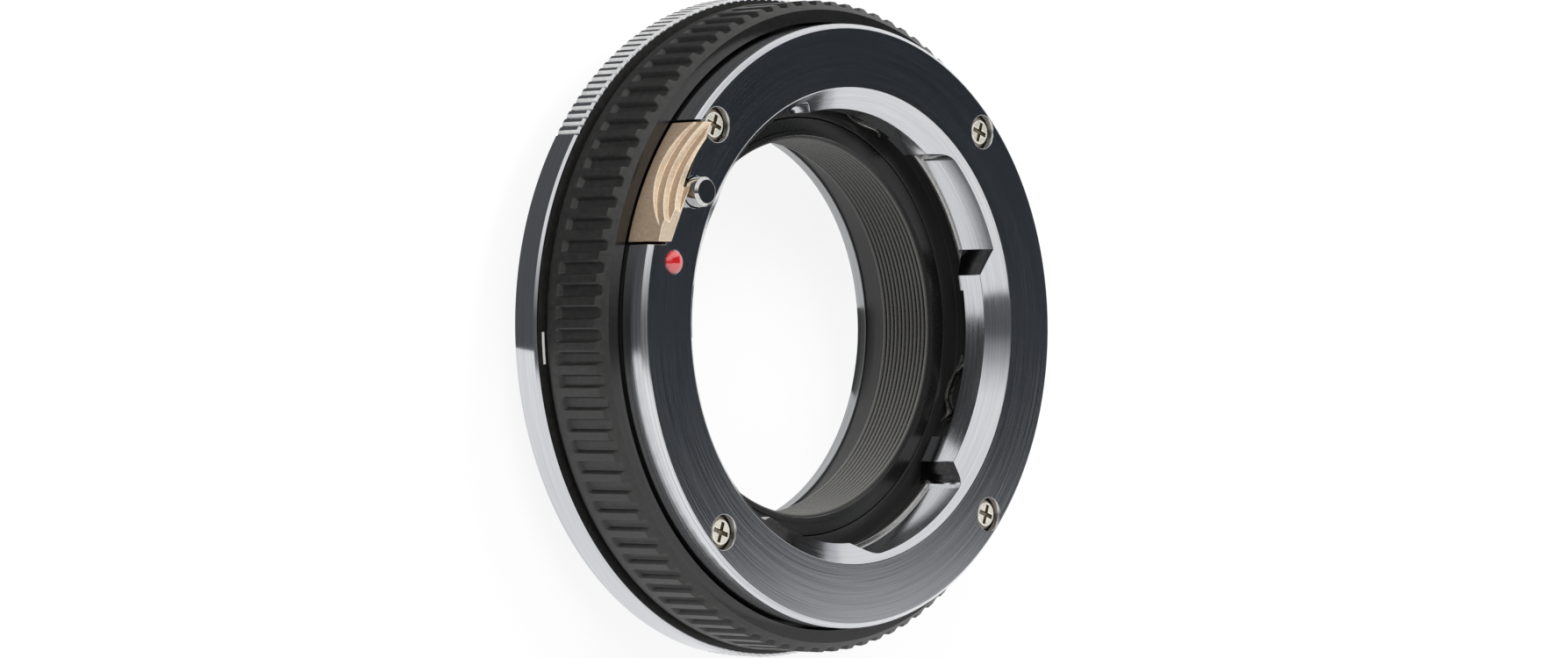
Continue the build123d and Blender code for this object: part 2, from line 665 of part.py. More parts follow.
def index_mark():
    return mark_shape(MARK_DEPTH)


def rear_grip_ring():
    """Body ring with two knurled stretches, a floor and a stepped seat for the sleeve."""
    body = turned([
        (BAYONET_BORE, Z_BODY),
        (CAMERA_PLATE_RADIUS + SLIP_FIT, Z_BODY),
        (CAMERA_PLATE_RADIUS + SLIP_FIT, Z_CAMERA),
        (REAR_RADIUS - REAR_CHAMFER, Z_CAMERA),
        (REAR_RADIUS, Z_CAMERA + REAR_CHAMFER),
        (REAR_RADIUS, Z_REAR - REAR_CHAMFER),
        (REAR_RADIUS - REAR_CHAMFER, Z_REAR),
        (KEEPER_RADIUS + SLIP_FIT, Z_REAR),
        (KEEPER_RADIUS + SLIP_FIT, Z_KEEPER),
        (LIP_RADIUS + RUN_CLEARANCE, Z_KEEPER),
        (LIP_RADIUS + RUN_CLEARANCE, Z_FLOOR),
        (BAYONET_BORE, Z_FLOOR),
    ])
    angles = []
    for start in KNURL_STARTS:
        angles += [start + KNURL_PITCH * (k + 0.5) for k in range(KNURL_RIBS)]
    outline = grooved_disc(REAR_RADIUS, KNURL_DEPTH, KNURL_TOP_WIDTH, KNURL_ROOT_WIDTH, angles)
    body &= Pos(0, 0, Z_CAMERA) * extrude(outline, REAR_RING_WIDTH)
    for spot in camera_screw_places():
        body -= spot * post(CAMERA_SCREW_SHANK + SLIP_FIT, Z_CAMERA, Z_FLOOR + THROUGH)
    for spot in key_screw_places():
        body -= spot * post(KEY_SCREW_SHANK + SLIP_FIT, Z_CAMERA, Z_FLOOR + THROUGH)
    return body - stop_post(SLIP_FIT, Z_BODY + THREAD_CLEARANCE, Z_FLOOR + THROUGH)


def camera_screw_shape(grow, low):
    """Countersunk screw of the camera mount plate, pointing up into the body."""
    head = CAMERA_SCREW_HEAD + grow
    shank = CAMERA_SCREW_SHANK + grow
    rim = Z_CAMERA + CAMERA_SCREW_RIM
    top = Z_FLOOR - END_FLOAT
    return turned([
        (0, low),
        (head, low),
        (head, rim),
        (shank, rim + head - shank),
        (shank, top),
        (0, top),
    ])


def camera_mount_plate():
    """Rear flange with the male bayonet and a relief groove round its root."""
    plate = turned([
        (BAYONET_LIP + BAYONET_EDGE, 0),
        (BAYONET_RADIUS - BAYONET_EDGE, 0),
        (BAYONET_RADIUS, BAYONET_EDGE),
        (BAYONET_RADIUS, Z_CAMERA + RELIEF_DEPTH),
        (RELIEF_RADIUS, Z_CAMERA + RELIEF_DEPTH),
        (RELIEF_RADIUS, Z_CAMERA),
        (CAMERA_PLATE_RADIUS - EDGE_BREAK, Z_CAMERA),
        (CAMERA_PLATE_RADIUS, Z_CAMERA + EDGE_BREAK),
        (CAMERA_PLATE_RADIUS, Z_BODY),
        (BAYONET_BORE, Z_BODY),
        (BAYONET_BORE, BAYONET_LIP_HEIGHT),
        (BAYONET_LIP, BAYONET_LIP_HEIGHT),
        (BAYONET_LIP, BAYONET_EDGE),
    ])
    lug_top = BAYONET_LUG_LOW + BAYONET_LUG_HEIGHT
    for start, end in CAMERA_LUGS:
        plate += ring(BAYONET_BORE + BAYONET_WALL / 2, CAMERA_LUG_RADIUS, BAYONET_LUG_LOW, lug_top,
                      start, end - start)
    for spot in camera_screw_places():
        plate -= spot * camera_screw_shape(SLIP_FIT, Z_CAMERA - THROUGH)
    slot = block(LOCK_SLOT_LENGTH, LOCK_SLOT_WIDTH, Z_CAMERA - THROUGH, Z_BODY + THROUGH)
    return plate - place(CAMERA_SCREW_CIRCLE, LOCK_SLOT_ANGLE) * slot


def camera_mount_screws():
    screw = camera_screw_shape(0, Z_CAMERA + SLIP_FIT)
    blade = block(RECESS_LENGTH, RECESS_WIDTH, Z_CAMERA - THROUGH, Z_CAMERA + RECESS_DEPTH)
    screw = screw - blade - Rot(0, 0, 90) * blade
    return [spot * screw for spot in camera_screw_places()]


def rear_light_baffle():
    top = Z_FLOOR + BAFFLE_FLANGE_HEIGHT
    return turned([
        (BAFFLE_BORE, BAYONET_LIP_HEIGHT + SLIP_FIT),
        (BAFFLE_RADIUS, BAYONET_LIP_HEIGHT + SLIP_FIT),
        (BAFFLE_RADIUS, Z_FLOOR),
        (BAFFLE_FLANGE, Z_FLOOR),
        (BAFFLE_FLANGE, top),
        (BAFFLE_BORE + EDGE_BREAK, top),
        (BAFFLE_BORE, top - EDGE_BREAK),
    ])


def key_screw_shape(grow, top):
    """Countersunk screw of a guide key, pointing down into the body."""
    head = KEY_SCREW_HEAD + grow
    shank = KEY_SCREW_SHANK + grow
    low = Z_BODY + THREAD_CLEARANCE
    rim = Z_KEY_FOOT - KEY_SCREW_RIM
    return turned([
        (0, low),
        (shank, low),
        (shank, rim - head + shank),
        (head, rim),
        (head, top),
        (0, top),
    ])


def guide_key(angle):
    """Upright key on a screwed foot, which keeps the barrel from turning."""
    outer = KEY_INNER + KEY_RADIAL
    foot = block(KEY_FOOT_OUTER - KEY_FOOT_INNER, KEY_FOOT_WIDTH, Z_FLOOR, Z_KEY_FOOT)
    web = block(outer - KEY_FOOT_MIDDLE, KEY_WIDTH, Z_FLOOR, Z_KEY_FOOT)
    upright = block(KEY_RADIAL, KEY_WIDTH, Z_FLOOR, Z_KEY_TOP)
    key = Pos(KEY_FOOT_MIDDLE, 0, 0) * foot
    key += Pos((KEY_FOOT_MIDDLE + outer) / 2, 0, 0) * web
    key += Pos(KEY_MIDDLE, 0, 0) * upright
    key = Rot(0, 0, angle) * key
    for spot in key_screw_places():
        key -= spot * key_screw_shape(SLIP_FIT, Z_KEY_FOOT + THROUGH)
    return key


def guide_key_screws():
    slot = block(2 * KEY_SCREW_HEAD + SIDE_GAP, KEY_SCREW_SLOT, Z_KEY_FOOT - SIDE_GAP, Z_KEY_FOOT + THROUGH)
    screw = key_screw_shape(0, Z_KEY_FOOT) - slot
    return [spot * screw for spot in key_screw_places()]


PARTS = {
    "lens_mount_plate": lens_mount_plate,
    "mount_screws": mount_screws,
    "bayonet_spring": bayonet_spring,
    "index_bead": index_bead,
    "lens_barrel": lens_barrel,
    "ridged_light_tube": ridged_light_tube,
    "release_button": release_button,
    "lock_pin": lock_pin,
    "release_spring": release_spring,
    "focus_grip_ring": focus_grip_ring,
    "helicoid_sleeve": helicoid_sleeve,
    "grip_set_screws": grip_set_screws,
    "sleeve_keeper_ring": sleeve_keeper_ring,
    "index_mark": index_mark,
    "upper_slip_washer": upper_slip_washer,
    "lower_slip_washer": lower_slip_washer,
    "focus_stop_pin": focus_stop_pin,
    "guide_key_screws": guide_key_screws,
    "rear_grip_ring": rear_grip_ring,
    "camera_mount_plate": camera_mount_plate,
    "camera_mount_screws": camera_mount_screws,
    "rear_light_baffle": rear_light_baffle,
}

os.makedirs("parts", exist_ok=True)

for name, make in PARTS.items():
    made = make()
    shape = Compound(children=made) if isinstance(made, list) else made
    export_step(shape, f"parts/{name}.step")

for number, angle in enumerate(KEY_ANGLES, start=1):
    export_step(guide_key(angle), f"parts/guide_key_{number}.step")
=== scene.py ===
# %% [markdown]
# A lens mount adapter is a short, stout tube: a bright bayonet on the front takes the lens, a second one
# on the back goes into the camera, and a black focusing ring between them turns a helicoid.
# Nearly every piece of it was turned on a lathe, so this lesson works in radius, height and angle.
# The solids are loaded first as a fixed frame. They are never moved: pieces that need finer edges or
# real grooves are made beside them, ride on the same bodies and take their place in the picture.

# %% Load the solids
import bmesh
import bpy
import json
from math import atan2, cos, hypot, pi, radians, sin
from mathutils import Matrix, Vector

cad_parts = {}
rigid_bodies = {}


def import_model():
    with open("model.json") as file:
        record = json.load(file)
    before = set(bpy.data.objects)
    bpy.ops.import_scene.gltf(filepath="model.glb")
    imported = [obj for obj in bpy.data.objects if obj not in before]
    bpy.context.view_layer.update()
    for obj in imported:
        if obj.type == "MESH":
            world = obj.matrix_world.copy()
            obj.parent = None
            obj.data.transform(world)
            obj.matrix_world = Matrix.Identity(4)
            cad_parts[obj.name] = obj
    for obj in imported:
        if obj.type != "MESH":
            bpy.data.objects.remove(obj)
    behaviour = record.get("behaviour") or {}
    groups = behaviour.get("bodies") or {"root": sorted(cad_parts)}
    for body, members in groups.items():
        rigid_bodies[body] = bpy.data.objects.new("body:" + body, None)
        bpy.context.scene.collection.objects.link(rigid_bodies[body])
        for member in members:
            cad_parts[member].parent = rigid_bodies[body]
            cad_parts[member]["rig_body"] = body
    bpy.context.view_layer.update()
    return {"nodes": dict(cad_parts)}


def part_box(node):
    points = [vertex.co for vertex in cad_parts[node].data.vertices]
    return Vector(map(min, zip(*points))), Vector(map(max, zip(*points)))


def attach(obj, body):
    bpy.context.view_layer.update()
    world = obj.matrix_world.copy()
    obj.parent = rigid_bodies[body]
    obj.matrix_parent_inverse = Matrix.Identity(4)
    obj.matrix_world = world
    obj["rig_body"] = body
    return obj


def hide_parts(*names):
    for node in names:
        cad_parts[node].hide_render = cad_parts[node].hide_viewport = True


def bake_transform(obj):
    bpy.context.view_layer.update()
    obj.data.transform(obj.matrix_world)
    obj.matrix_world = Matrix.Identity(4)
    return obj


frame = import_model()
nodes = frame["nodes"]
MM = 0.001

# %% [markdown]
# The photograph was taken with a long lens from the front left of the adapter, a little over 40 degrees
# off its axis. Here the adapter lies on its rear rim with the axis upright, so the camera looks down on
# it and is rolled until the axis lies across the picture. A camera can be placed by an aim and a roll,
# but the three unit vectors of its own frame say the same with nothing left to guess.

# %% Camera
FACE_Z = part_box("lens_mount_plate")[1].z
SENSOR = 36.0
FOCAL = 102.83
CLIP_START = 0.01
CAMERA_STEP = Vector((-0.3082, -0.00679, 0.27881))
CAMERA_RIGHT = Vector((0.68292, 0.00148, 0.7305))
CAMERA_UP = Vector((-0.0124, 0.99988, 0.00957))

camera = bpy.data.objects.new("camera", bpy.data.cameras.new("camera"))
bpy.context.scene.collection.objects.link(camera)
bpy.context.scene.camera = camera
camera.data.sensor_width = SENSOR
camera.data.lens = FOCAL
camera.data.clip_start = CLIP_START
camera_back = CAMERA_RIGHT.cross(CAMERA_UP).normalized()
turn = Matrix((CAMERA_RIGHT, CAMERA_UP, camera_back)).transposed()
camera.matrix_world = Matrix.Translation(Vector((0, 0, FACE_Z)) + CAMERA_STEP) @ turn.to_4x4()
print("camera", [round(v, 4) for v in camera.location])

# %% [markdown]
# Floor, world and finishes are all drawn with shader nodes. Wiring them by hand takes many lines, so five
# small helpers do it: a node with its settings, a calculation, a change of range, a mix of two colours
# and an empty material.

# %% Node helpers


def add(tree, kind, **settings):
    """New shader node with some of its properties set."""
    node = tree.nodes.new(kind)
    for name, value in settings.items():
        setattr(node, name, value)
    return node


def maths(tree, operation, first, second=0.0):
    """Math node on two sockets or numbers."""
    node = add(tree, "ShaderNodeMath", operation=operation)
    for socket, value in zip(node.inputs, (first, second)):
        if isinstance(value, bpy.types.NodeSocket):
            tree.links.new(value, socket)
        else:
            socket.default_value = value
    return node.outputs[0]


def spread(tree, value, low, high, start=0.3, end=0.7):
    """Maps a stretch of a value, by default the middle of a noise, to a range."""
    node = add(tree, "ShaderNodeMapRange")
    tree.links.new(value, node.inputs["Value"])
    node.inputs["From Min"].default_value = start
    node.inputs["From Max"].default_value = end
    node.inputs["To Min"].default_value = low
    node.inputs["To Max"].default_value = high
    return node.outputs["Result"]


def between(tree, share, first, second):
    """Colour mixed from two colours by a grey value."""
    node = add(tree, "ShaderNodeMix", data_type="RGBA")
    tree.links.new(share, node.inputs["Factor"])
    node.inputs[6].default_value = (*first, 1)
    node.inputs[7].default_value = (*second, 1)
    return node.outputs[2]


def empty_material(name):
    """Material with an output node and nothing else."""
    material = bpy.data.materials.new(name)
    material.use_nodes = True
    material.node_tree.nodes.clear()
    return material, material.node_tree, add(material.node_tree, "ShaderNodeOutputMaterial")


print("node helpers ready")

# %% [markdown]
# The adapter stands on white paper. More lamps would whiten the paper but bleach the adapter too, so the
# paper sends its own white to the camera and to mirror-like rays, and a share of plain reflected light
# stays in it. That share keeps the adapter's soft shadow.

# %% Paper floor
FLOOR_SIZE = 6.0
PAPER = (0.9, 0.9, 0.9, 1)
PAPER_SHARE = 0.86
WHITE = (1.0, 1.0, 1.0)


def white_paper():
    """Paper that shows white to camera and mirror-like rays and takes a shadow."""
    material, tree, output = empty_material("white_paper")
    path = add(tree, "ShaderNodeLightPath").outputs
    seen = maths(tree, "MAXIMUM", path["Is Camera Ray"], path["Is Glossy Ray"])
    seen = maths(tree, "MAXIMUM", seen, path["Is Transmission Ray"])
    paper = add(tree, "ShaderNodeBsdfDiffuse")
    paper.inputs["Color"].default_value = PAPER
    glow = add(tree, "ShaderNodeEmission")
    glow.inputs["Color"].default_value = (*WHITE, 1)
    mix = add(tree, "ShaderNodeMixShader")
    tree.links.new(maths(tree, "MULTIPLY", seen, PAPER_SHARE), mix.inputs[0])
    tree.links.new(paper.outputs[0], mix.inputs[1])
    tree.links.new(glow.outputs[0], mix.inputs[2])
    tree.links.new(mix.outputs[0], output.inputs["Surface"])
    return material


def sheet(name, corners, material):
    """Flat staged sheet from its corners in metres."""
    mesh = bpy.data.meshes.new(name)
    mesh.from_pydata(corners, [], [tuple(range(len(corners)))])
    mesh.materials.append(material)
    piece = bpy.data.objects.new(name, mesh)
    bpy.context.scene.collection.objects.link(piece)
    return piece


half = FLOOR_SIZE / 2
sheet("floor", [(-half, -half, 0), (half, -half, 0), (half, half, 0), (-half, half, 0)], white_paper())
print("floor", FLOOR_SIZE, "m wide")

# %% [markdown]
# Polished metal shows whatever stands round it, so the studio matters as much as the finish.
# In the photograph the picture's lower side is a white table, its upper side a wide soft box, and between
# them lies a dark strip that gives the chrome its black faces. The world can be painted that way by the
# direction that a ray leaves in: white below, dark in the middle and white above, all along Y.
# The cone inside the mount looks straight back at the camera, whose own dark shape fades out upwards.
# Far to the right the backdrop is white again, and the domed screws and the bead catch it.

# %% Studio world
DARK_STRIP = (0.028, 0.034, 0.041)
TABLE_EDGE = (-0.070, -0.040)
TABLE_TIP = (0.010, -0.012)
TABLE_REACH = (0.69, 0.77)
SOFT_BOX_EDGE = (0.34, 0.43)
CAMERA_SIDE = (-0.25, 0.25)
CAMERA_EDGE = (-0.21, -0.165)
CAMERA_FADE = (0.045, 0.40)
CAMERA_TONE = 0.09
FAR_WHITE = (0.85, 0.91)


def studio_world():
    """White table below, dark strip, soft box above; the camera itself sees plain white."""
    world = bpy.data.worlds.new("studio")
    world.use_nodes = True
    tree = world.node_tree
    split = add(tree, "ShaderNodeSeparateXYZ")
    tree.links.new(add(tree, "ShaderNodeTexCoord").outputs["Generated"], split.inputs[0])
    tip = spread(tree, split.outputs["X"], *TABLE_TIP, *TABLE_REACH)
    table = spread(tree, maths(tree, "ADD", split.outputs["Y"], tip), 1, 0, *TABLE_EDGE)
    box = spread(tree, split.outputs["Y"], 0, 1, *SOFT_BOX_EDGE)
    lit = maths(tree, "MAXIMUM", table, box)
    below = spread(tree, split.outputs["Y"], 1, 0, *CAMERA_EDGE)
    above = spread(tree, split.outputs["Y"], CAMERA_TONE, 1, *CAMERA_FADE)
    behind = maths(tree, "SUBTRACT", maths(tree, "MAXIMUM", below, above), lit)
    side = spread(tree, split.outputs["X"], 1, 0, *CAMERA_SIDE)
    lit = maths(tree, "ADD", lit, maths(tree, "MULTIPLY", side, behind))
    lit = maths(tree, "MAXIMUM", lit, spread(tree, split.outputs["X"], 0, 1, *FAR_WHITE))
    lit = maths(tree, "MAXIMUM", lit, add(tree, "ShaderNodeLightPath").outputs["Is Camera Ray"])
    tree.links.new(between(tree, lit, DARK_STRIP, WHITE), tree.nodes["Background"].inputs["Color"])
    return world


bpy.context.scene.world = studio_world()
bpy.context.scene.view_settings.view_transform = "Standard"
print("world", bpy.context.scene.world.name)

# %% [markdown]
# The dark strip goes on below the horizon as cloths on the paper: one left of the adapter for the rear
# ring to mirror, one under the bore for the backs of the bayonet lugs and a scrap for the rear rim.
# The cloths are seen by mirror-like rays alone: they cast no shadow and stay out of the picture.
# Two lamps stand where the soft box is. They make the soft shadow and stay out of reflections.

# %% Cloths and lamps
CLOTH_Z = 0.0006
RIM_CLOTH_Z = 0.00005
SIDE_CLOTH = (0.105, 0.107, 0.112, 1)
BORE_CLOTH = (0.050, 0.051, 0.053, 1)
RIM_CLOTH = (0.075, 0.076, 0.074, 1)
SIDE_CORNERS = ((-0.6, -0.2), (-0.0315, -0.00165), (-0.0245, 0.0), (-0.012, 0.022), (0.0, 0.031),
                (0.0, 0.6), (-0.6, 0.6))
BORE_CORNERS = ((-0.004, -0.00105), (0.0104, 0.00025), (0.0104, 0.010), (0.004, 0.010),
                (0.003, 0.0045), (-0.004, 0.0035))
RIM_CORNERS = ((0.0168, -0.0060), (0.0189, -0.0056), (0.0189, 0.0022), (0.0168, 0.0018))
LAMP_SIZE = 0.40
LEFT_LAMP = (-0.45, 0.55, 0.50)
LEFT_POWER = 4.5
RIGHT_LAMP = (0.20, 0.50, 0.65)
RIGHT_POWER = 3.5


def cloth(name, colour, corners, height=CLOTH_Z):
    """Dark sheet on the paper for mirror-like rays only."""
    material, tree, output = empty_material(name)
    tone = add(tree, "ShaderNodeEmission")
    tone.inputs["Color"].default_value = colour
    tree.links.new(tone.outputs[0], output.inputs["Surface"])
    piece = sheet(name, [(x, y, height) for x, y in corners], material)
    piece.visible_camera = False
    piece.visible_diffuse = False
    piece.visible_shadow = False
    piece.visible_transmission = False


def lamp(name, place, power):
    """Round lamp aimed at the adapter and left out of reflections."""
    light = bpy.data.lights.new(name, "AREA")
    light.shape = "DISK"
    light.size = LAMP_SIZE
    light.energy = power
    piece = bpy.data.objects.new(name, light)
    bpy.context.scene.collection.objects.link(piece)
    piece.location = place
    piece.visible_glossy = False
    aim = Vector((0, 0, FACE_Z / 2)) - Vector(place)
    piece.rotation_euler = aim.to_track_quat("-Z", "Y").to_euler()


cloth("side_cloth", SIDE_CLOTH, SIDE_CORNERS)
cloth("bore_cloth", BORE_CLOTH, BORE_CORNERS)
cloth("rim_cloth", RIM_CLOTH, RIM_CORNERS, RIM_CLOTH_Z)
lamp("left_lamp", LEFT_LAMP, LEFT_POWER)
lamp("right_lamp", RIGHT_LAMP, RIGHT_POWER)
print("cloths 3, lamps 2")

# %% [markdown]
# Every metal here carries the marks of the lathe: lines that run round the axis, very fine across and
# long along the cut. A noise that reads radius and height finely and the angle slowly gives just that,
# on a flat face as rings and on a side as streaks. The angle comes in as a point on a unit circle, so
# the pattern closes on itself with no seam.

# %% Lathe marks for the materials


def lathe_marks(tree, pitch, sweep, detail=3.0):
    """Grey value that changes across the tool marks every pitch metres and slowly along them."""
    place = add(tree, "ShaderNodeTexCoord").outputs["Object"]
    split = add(tree, "ShaderNodeSeparateXYZ")
    tree.links.new(place, split.inputs[0])
    flat = add(tree, "ShaderNodeCombineXYZ")
    tree.links.new(split.outputs["X"], flat.inputs["X"])
    tree.links.new(split.outputs["Y"], flat.inputs["Y"])
    radius = add(tree, "ShaderNodeVectorMath", operation="LENGTH")
    tree.links.new(flat.outputs[0], radius.inputs[0])
    unit = add(tree, "ShaderNodeVectorMath", operation="NORMALIZE")
    tree.links.new(flat.outputs[0], unit.inputs[0])
    around = add(tree, "ShaderNodeVectorMath", operation="SCALE")
    tree.links.new(unit.outputs[0], around.inputs[0])
    around.inputs["Scale"].default_value = sweep
    height = add(tree, "ShaderNodeCombineXYZ")
    tree.links.new(maths(tree, "DIVIDE", split.outputs["Z"], pitch), height.inputs["Z"])
    spot = add(tree, "ShaderNodeVectorMath", operation="ADD")
    tree.links.new(around.outputs[0], spot.inputs[0])
    tree.links.new(height.outputs[0], spot.inputs[1])
    noise = add(tree, "ShaderNodeTexNoise", noise_dimensions="4D")
    noise.inputs["Scale"].default_value = 1.0
    noise.inputs["Detail"].default_value = detail
    tree.links.new(spot.outputs[0], noise.inputs["Vector"])
    tree.links.new(maths(tree, "DIVIDE", radius.outputs["Value"], pitch), noise.inputs["W"])
    return noise.outputs[0]


def grain(tree, size, detail=4.0):
    """Even grey grain of about that size in metres."""
    place = add(tree, "ShaderNodeTexCoord").outputs["Object"]
    noise = add(tree, "ShaderNodeTexNoise")
    noise.inputs["Scale"].default_value = 1 / size
    noise.inputs["Detail"].default_value = detail
    tree.links.new(place, noise.inputs["Vector"])
    return noise.outputs[0]


print("patterns ready: lathe marks and grain")

# %% [markdown]
# A finish is then three readings of such a pattern: its tone between a dark and a light colour, its gloss
# between a smooth and a rough value, and a very shallow bump. One helper builds them all, with the sizes
# of marks and grain and the depth of the bump in micrometres.

# %% Finish helpers
UM = 1e-6


def relief(tree, height, depth, strength):
    """Bump from a grey value, with its depth in metres."""
    node = add(tree, "ShaderNodeBump")
    node.inputs["Strength"].default_value = strength
    node.inputs["Distance"].default_value = depth
    tree.links.new(height, node.inputs["Height"])
    return node.outputs["Normal"]


def surface(name, colour, roughness, normal, **constants):
    """Principled material; colour, roughness and normal are functions of the node tree."""
    material, tree, output = empty_material(name)
    shader = add(tree, "ShaderNodeBsdfPrincipled")
    for socket, value in constants.items():
        shader.inputs[socket.replace("_", " ")].default_value = value
    tree.links.new(colour(tree), shader.inputs["Base Color"])
    tree.links.new(roughness(tree), shader.inputs["Roughness"])
    tree.links.new(normal(tree), shader.inputs["Normal"])
    tree.links.new(shader.outputs[0], output.inputs["Surface"])
    return material


def marks(pitch, sweep):
    """Lathe marks as a pattern for a finish."""
    return lambda tree: lathe_marks(tree, pitch * UM, sweep)


def specks(size):
    """Even grain as a pattern for a finish."""
    return lambda tree: grain(tree, size * UM)


def make_finish(name, tone, gloss, bump, **constants):
    """Material from (pattern, dark, light), (pattern, smooth, rough) and (pattern, depth, strength)."""
    tint, dark, light = tone
    sheen, smooth, rough = gloss
    height, depth, strength = bump
    return surface(
        name,
        lambda tree: between(tree, spread(tree, tint(tree), 0, 1), dark, light),
        lambda tree: spread(tree, sheen(tree), smooth, rough),
        lambda tree: relief(tree, height(tree), depth * UM, strength),
        **constants,
    )


print("finish helpers ready")

# %% [markdown]
# The two bayonets and the rear ring are brass with a bright chrome plate over fine turning.
# Chrome is a metal shader with little roughness. The lines go into its roughness and a very shallow bump,
# so that they show only where a reflection changes, as on the real face. Coarser turning gives streaks and
# the rear rim is satin. The lug ends get near-black chrome as painted shade, and the knurl's flanks a pale,
# matt chrome as a painted reflection.

# %% Chrome
BRIGHT = make_finish(
    "bright_chrome",
    tone=(marks(90, 2.5), (0.55, 0.56, 0.59), (0.68, 0.69, 0.71)),
    gloss=(marks(60, 2.0), 0.07, 0.17),
    bump=(marks(50, 1.5), 2, 0.25),
    Metallic=1.0,
)
STREAKED = make_finish(
    "streaked_chrome",
    tone=(marks(160, 1.2), (0.50, 0.51, 0.54), (0.78, 0.79, 0.81)),
    gloss=(marks(120, 1.2), 0.10, 0.28),
    bump=(marks(90, 1.2), 4, 0.35),
    Metallic=1.0,
)
SATIN = make_finish(
    "satin_chrome",
    tone=(marks(90, 2.5), (0.32, 0.33, 0.34), (0.46, 0.47, 0.48)),
    gloss=(marks(60, 2.0), 0.26, 0.40),
    bump=(marks(50, 1.5), 2, 0.25),
    Metallic=1.0,
)
# Near-black chrome for the lug ends and the ledges in the gaps: painted shade where they sit in shadow.
SHADED_LUG_ENDS = make_finish(
    "lug_end_shade_chrome",
    tone=(specks(300), (0.035, 0.035, 0.037), (0.065, 0.065, 0.068)),
    gloss=(specks(150), 0.16, 0.26),
    bump=(specks(100), 4, 0.2),
    Metallic=1.0,
)
# Pale, matt chrome for the knurl's flanks: a painted reflection of the white around them.
KNURL_FLANK_SHEEN = make_finish(
    "knurl_flank_sheen_chrome",
    tone=(specks(400), (0.66, 0.66, 0.66), (0.82, 0.82, 0.81)),
    gloss=(specks(200), 0.35, 0.5),
    bump=(specks(150), 6, 0.2),
    Metallic=0.25,
)
print("chrome finishes 5")

# %% [markdown]
# The screws are nickel plated and a little warm, and the cross of each head is painted dark as shade. Springs
# and small pins are ground steel. The lock pin is polished, because the lens slides over it at every change.
# Guide keys and washers are plain brass.

# %% Screws, steel and brass
NICKEL = make_finish(
    "warm_nickel",
    tone=(specks(400), (0.80, 0.76, 0.66), (0.95, 0.92, 0.84)),
    gloss=(specks(200), 0.18, 0.32),
    bump=(specks(150), 8, 0.2),
    Metallic=0.6,
)
# Dark nickel for the cross in each screw head: painted shade in the recess.
SCREW_CROSS_SHADE = make_finish(
    "screw_cross_shade_nickel",
    tone=(specks(400), (0.30, 0.26, 0.20), (0.42, 0.37, 0.30)),
    gloss=(specks(200), 0.22, 0.38),
    bump=(specks(150), 8, 0.2),
    Metallic=1.0,
)
STEEL = make_finish(
    "ground_steel",
    tone=(specks(300), (0.50, 0.49, 0.47), (0.64, 0.63, 0.60)),
    gloss=(specks(150), 0.14, 0.28),
    bump=(specks(100), 5, 0.2),
    Metallic=1.0,
)
POLISHED = make_finish(
    "polished_steel",
    tone=(specks(300), (0.56, 0.56, 0.54), (0.68, 0.67, 0.65)),
    gloss=(specks(150), 0.06, 0.12),
    bump=(specks(100), 2, 0.15),
    Metallic=1.0,
)
BRASS = make_finish(
    "plain_brass",
    tone=(marks(150, 2), (0.55, 0.38, 0.14), (0.69, 0.50, 0.22)),
    gloss=(marks(100, 2), 0.2, 0.4),
    bump=(marks(100, 2), 6, 0.3),
    Metallic=1.0,
)
print("screw, steel and brass finishes 5")

# %% [markdown]
# The focusing ring and the inside of the adapter are black: anodised on the ring, flatter paint inside to
# swallow stray light. Black is never one tone. A fine grain in the roughness keeps highlights soft.
# The ridges in the light tube are painted darker in their valleys as shade and lighter on their crests as
# light, by radius.

# %% Black finishes
# Radii over which the ridge colour goes from painted shade in the valleys to painted light on the crests.
CREST_LIGHT_RADII = (0.01760, 0.01780)


def axis_radius(tree):
    """Distance from the adapter's axis in metres."""
    flat = add(tree, "ShaderNodeVectorMath", operation="MULTIPLY")
    tree.links.new(add(tree, "ShaderNodeTexCoord").outputs["Object"], flat.inputs[0])
    flat.inputs[1].default_value = (1, 1, 0)
    radius = add(tree, "ShaderNodeVectorMath", operation="LENGTH")
    tree.links.new(flat.outputs[0], radius.inputs[0])
    return radius.outputs["Value"]


def ridge_shade_and_light(tree):
    """Painted shade in the valleys and painted light on the crests, following the radius."""
    crest = spread(tree, axis_radius(tree), 1, 0, *CREST_LIGHT_RADII)
    return between(tree, crest, (0.005, 0.005, 0.0048), (0.100, 0.098, 0.091))


ANODISED = make_finish(
    "black_anodised",
    tone=(specks(500), (0.010, 0.010, 0.0095), (0.020, 0.019, 0.018)),
    gloss=(specks(120), 0.36, 0.52),
    bump=(specks(70), 12, 0.3),
    Specular_IOR_Level=0.55,
)
LACQUER = make_finish(
    "black_lacquer",
    tone=(marks(200, 2), (0.010, 0.010, 0.010), (0.020, 0.0195, 0.019)),
    gloss=(marks(150, 2), 0.26, 0.40),
    bump=(marks(150, 2), 5, 0.25),
    Specular_IOR_Level=0.6,
)
GLOSS = make_finish(
    "gloss_black",
    tone=(specks(500), (0.008, 0.008, 0.0075), (0.014, 0.0135, 0.013)),
    gloss=(specks(200), 0.13, 0.22),
    bump=(specks(100), 4, 0.2),
    Specular_IOR_Level=0.85,
)
RIDGE = surface(
    "ridge_black",
    ridge_shade_and_light,
    lambda tree: spread(tree, grain(tree, 200 * UM), 0.24, 0.36),
    lambda tree: relief(tree, grain(tree, 80 * UM), 6 * UM, 0.25),
    Specular_IOR_Level=0.55,
)
print("black finishes 4")
